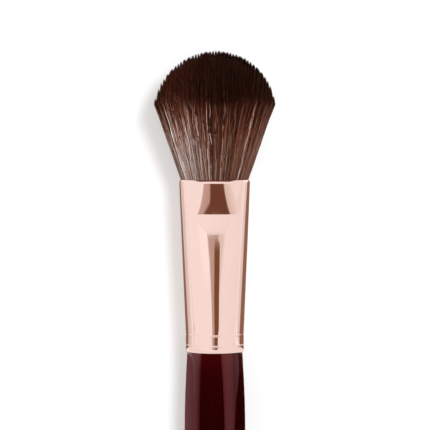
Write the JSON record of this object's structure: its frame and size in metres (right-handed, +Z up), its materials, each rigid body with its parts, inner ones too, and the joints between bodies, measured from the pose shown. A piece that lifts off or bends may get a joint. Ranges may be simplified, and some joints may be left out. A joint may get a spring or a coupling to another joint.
{
  "type": "blush brush",
  "caption": "Cosmetic brush with a domed head of soft hair, an oval pinched metal ferrule and a turned glossy handle, for putting on powder blush",
  "frame": {"origin": "middle of the footprint, on the surface that the brush lies on", "axes": "the head of hair points along +Y, the width runs along X, +Z is up; the brush lies on the flat of its head and the swell of its handle, so its axis rises about 2.2 degrees towards the head"},
  "size_m": [0.0334, 0.1755, 0.0242],
  "materials": {
    "handle_lacquer": "turned wood under dark burgundy high-gloss lacquer",
    "rose_metal": "drawn brass tube with a polished rose gold plating",
    "cured_glue": "cured amber epoxy",
    "soft_hair": "soft synthetic hair in browns and silver greys with dark dyed tips"
  },
  "bodies": {
    "root": {"handle": "handle_lacquer", "ferrule": "rose_metal", "root_glue": "cured_glue", "bristle_tuft": "soft_hair"}
  },
  "joints": []
}
